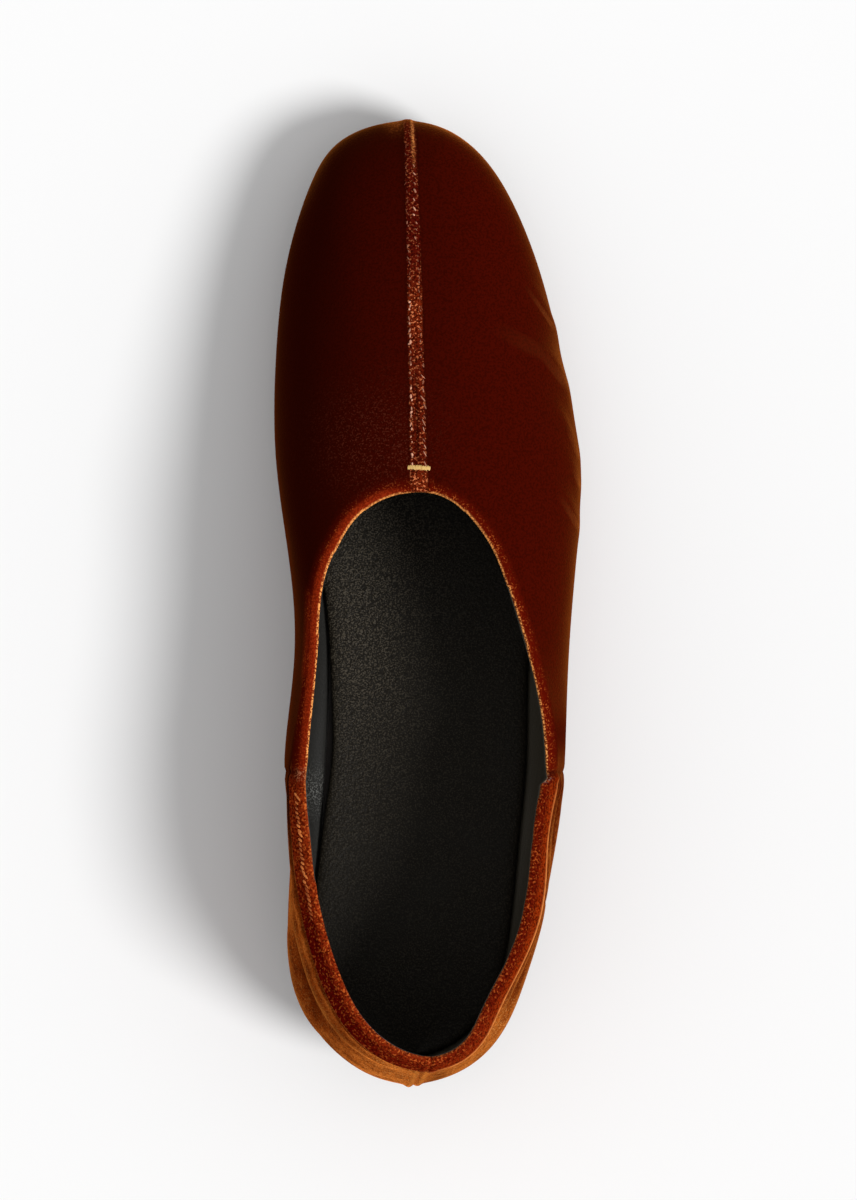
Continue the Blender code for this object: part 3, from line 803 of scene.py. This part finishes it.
def bead():
    """A thread seen between two needle holes: a small smooth bead, one unit long along Y."""
    bpy.ops.object.select_all(action="DESELECT")
    bpy.ops.mesh.primitive_uv_sphere_add(segments=8, ring_count=6, radius=0.5, rotation=(math.pi / 2, 0, 0))
    bpy.ops.object.transform_apply(rotation=True)
    return bpy.context.object


def sew(name, tree, stitches):
    """One piece of many stitches on a surface.  Sizes are in mm and the turn from Y is in degrees."""
    source = bead()
    shape, _ = mesh_arrays(source)
    faces = [tuple(face.vertices) for face in source.data.polygons]
    bpy.data.objects.remove(source)
    points, polygons, pale = [], [], []
    for stitch in stitches:
        place, normal = surface_point(tree, stitch.x, stitch.y)
        if place is None:
            continue
        turn = math.radians(stitch.turn)
        side = Vector((math.cos(turn), -math.sin(turn), 0.0))
        run = normal.cross(side).normalized()
        side = run.cross(normal)
        up = normal * stitch.width
        axes = np.array([side * stitch.width, run * stitch.length, up * STITCH_HEIGHT_SHARE]) * MM
        polygons += [tuple(len(points) + i for i in face) for face in faces]
        points += list(shape @ axes + np.array(place + up * STITCH_RISE_SHARE * MM))
        pale += [stitch.pale] * len(shape)
    mesh = bpy.data.meshes.new(name)
    mesh.from_pydata(points, [], polygons)
    mesh.polygons.foreach_set("use_smooth", [True] * len(polygons))
    piece = bpy.data.objects.new(name, mesh)
    bpy.context.scene.collection.objects.link(piece)
    store(piece, "pale", pale)
    return piece


def thread_finish(name, twist_size, hollow_shade_share, dull, pale, hollow_shade, **constants):
    """Twisted thread, dull or pale from stitch to stitch, with painted shade in the hollows of its twist.
    """
    made = Finish(name, **constants)
    twist = made.noise(twist_size, 1.0)
    tint = made.mix(made.attribute("pale"), dull, pale)
    # Painted shade in the hollows of the twist.
    made.set(Base_Color=made.mix(hollow_shade_share * twist, tint, hollow_shade))
    made.bump(twist, TWIST_DEPTH)
    return made


# Each row's offset as a share of the strip's half width, first and last y and pitch, then its stitches.
SeamRow = namedtuple("SeamRow", "offset first last pitch length width turn pale")
SEAM_ROWS = (
    SeamRow(-0.78, 34.5, 78.0, 1.45, 0.9, 0.52, 4.0, 0.95),
    SeamRow(-0.80, 78.0, 100.0, 1.9, 0.8, 0.36, 4.0, 0.26),
    SeamRow(-0.95, 100.0, 118.0, 2.4, 1.2, 0.24, 2.0, 0.05),
    SeamRow(0.85, 34.5, 60.0, 2.1, 1.4, 0.30, -22.0, 0.55),
    SeamRow(0.75, 60.0, 92.0, 1.9, 0.8, 0.34, -12.0, 0.16),
    SeamRow(0.45, 92.0, 114.0, 2.2, 1.0, 0.40, -24.0, 0.70),
)
shell = surface_tree(upper)
chance = np.random.default_rng(7)
stitches = []
for row in SEAM_ROWS:
    for along in np.arange(row.first, row.last, row.pitch):
        jitter = chance.normal(size=5)
        middle = np.interp(along, SEAM_Y, SEAM_X)
        half_width = np.interp(along, SEAM_Y, SEAM_HALF_WIDTH)
        stitches.append(Stitch(
            x=middle + row.offset * half_width + 0.17 * jitter[0],
            y=along + 0.4 * jitter[1],
            length=row.length * (1 + 0.25 * jitter[2]),
            width=row.width * (1 + 0.22 * jitter[3]),
            turn=row.turn + 18 * jitter[4],
            pale=row.pale * chance.uniform(0.1, 1.5),
        ))
seam_stitches = sew("seam_stitches", shell, stitches)
rust_thread = thread_finish(
    "rust_thread", TWIST_SIZE, 0.35,
    dull=(0.16, 0.030, 0.010), pale=(0.95, 0.47, 0.30), hollow_shade=(0.10, 0.02, 0.008),
    Roughness=0.7, Specular_IOR_Level=0.15,
)
dress(seam_stitches, rust_thread, "rust_velvet")


# Collar stitches.  A slanted row in orange thread that sews the folded band to the quarter's lining.
# It shows on the medial band behind the side seam and fades into the pile towards the heel.
COLLAR_BACK_Y = -80.0
COLLAR_BRIGHT_Y = -66.0
COLLAR_FRONT_Y = -48.0
COLLAR_PITCH = 1.15
COLLAR_FROM_RIM = 2.7
COLLAR_RIM_FRONT_Y = -45.0
medial_rim = rim_points[(rim_points[:, 1] < COLLAR_RIM_FRONT_Y * MM) & (rim_points[:, 0] < 0)] / MM
medial_rim = medial_rim[np.argsort(medial_rim[:, 1])]
stitches = []
for along in np.arange(COLLAR_BACK_Y, COLLAR_FRONT_Y, COLLAR_PITCH):
    jitter = chance.normal(size=4)
    fade = np.interp(along, (COLLAR_BACK_Y, COLLAR_BRIGHT_Y), (0.3, 1.0))
    fade *= 0.72 + 0.28 * math.sin(along * 0.62)
    stitches.append(Stitch(
        x=np.interp(along, medial_rim[:, 1], medial_rim[:, 0]) - COLLAR_FROM_RIM + 0.16 * jitter[0],
        y=along + 0.12 * jitter[1],
        length=1.6 + 0.2 * jitter[1],
        width=0.62 * (1 + 0.15 * jitter[2]),
        turn=-38.0 + 9 * jitter[3],
        pale=fade * chance.uniform(0.45, 1.15),
    ))
collar_stitches = sew("collar_stitches", shell, stitches)
orange_thread = thread_finish(
    "orange_thread", TWIST_SIZE, 0.35,
    dull=(0.24, 0.026, 0.003), pale=(0.95, 0.30, 0.070), hollow_shade=(0.10, 0.012, 0.003),
    Roughness=0.8, Specular_IOR_Level=0.1,
)
dress(collar_stitches, orange_thread, "rust_velvet")


# Bar tack.  A short bar of pale gold thread across the raised seam, just ahead of the throat.
# It is sewn over and over in one place, strand beside strand, to lock the end of the seam.
STRAND_COUNT = 15
STRAND_END_GAP = 0.25
STRAND_SIZE = 0.12 * MM
tack_low, tack_high = np.array(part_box("bar_tack")) / MM
tack_middle = (tack_low + tack_high) / 2
strands = []
for along in np.linspace(tack_low[0] + STRAND_END_GAP, tack_high[0] - STRAND_END_GAP, STRAND_COUNT):
    jitter = chance.normal(size=3)
    slant = 0.05 * (along - tack_middle[0])
    strands.append(Stitch(
        x=along,
        y=tack_middle[1] - slant + 0.04 * jitter[0],
        length=1.25 + 0.06 * jitter[1],
        width=0.52,
        turn=8 + 4 * jitter[2],
        pale=chance.uniform(0.4, 1.0),
    ))
bar_tack = sew("gold_bar_tack", shell, strands)
gold_thread = thread_finish(
    "gold_thread", STRAND_SIZE, 0.3,
    dull=(0.62, 0.36, 0.09), pale=(0.88, 0.58, 0.20), hollow_shade=(0.50, 0.28, 0.06),
    Roughness=0.5, Specular_IOR_Level=0.4,
)
dress(bar_tack, gold_thread, "gold_thread", "bar_tack")


# Studio.  A pale paper floor under an even white sky, with one soft key light from behind the lateral side.
# The camera looks down from high above, a little to the medial side, and frames the shoe's whole length.
FLOOR_SIZE = 6.0
FLOOR_DROP = 0.2 * MM
EYE = Vector((-47.8, 9.3, 1180.0)) * MM
AIM = Vector((0.0, 0.0, 20.0)) * MM
FRAMED_HEIGHT = 312 * MM
SENSOR_WIDTH = 36.0
SKY_STRENGTH = 0.53
KEY_FROM = Vector((0.85, -0.43, 1.0))
KEY_STRENGTH = 2.32
KEY_SOFTNESS = math.radians(20)

bpy.ops.mesh.primitive_plane_add(size=FLOOR_SIZE, location=(0, 0, -FLOOR_DROP))
floor = bpy.context.object
floor.name = "floor"
paper = Finish("pale_paper", Base_Color=(0.925, 0.925, 0.925), Roughness=0.9, Specular_IOR_Level=0.1)
floor.data.materials.append(paper.material)

look = AIM - EYE
camera = bpy.data.objects.new("camera", bpy.data.cameras.new("camera"))
bpy.context.scene.collection.objects.link(camera)
camera.location = EYE
camera.rotation_euler = (math.atan2(look.y, -look.z), -math.atan2(look.x, -look.z), 0.0)
camera.data.sensor_width = SENSOR_WIDTH
camera.data.lens = SENSOR_WIDTH * look.length / FRAMED_HEIGHT
bpy.context.scene.camera = camera

world = bpy.data.worlds.new("studio")
bpy.context.scene.world = world
world.use_nodes = True
sky = world.node_tree.nodes["Background"]
sky.inputs["Color"].default_value = (1.0, 1.0, 1.0, 1.0)
sky.inputs["Strength"].default_value = SKY_STRENGTH

key = bpy.data.lights.new("key", "SUN")
key.angle = KEY_SOFTNESS
key.energy = KEY_STRENGTH
key_light = bpy.data.objects.new("key", key)
bpy.context.scene.collection.objects.link(key_light)
key_light.rotation_euler = KEY_FROM.to_track_quat("Z", "Y").to_euler()
bpy.context.scene.view_settings.view_transform = "Standard"
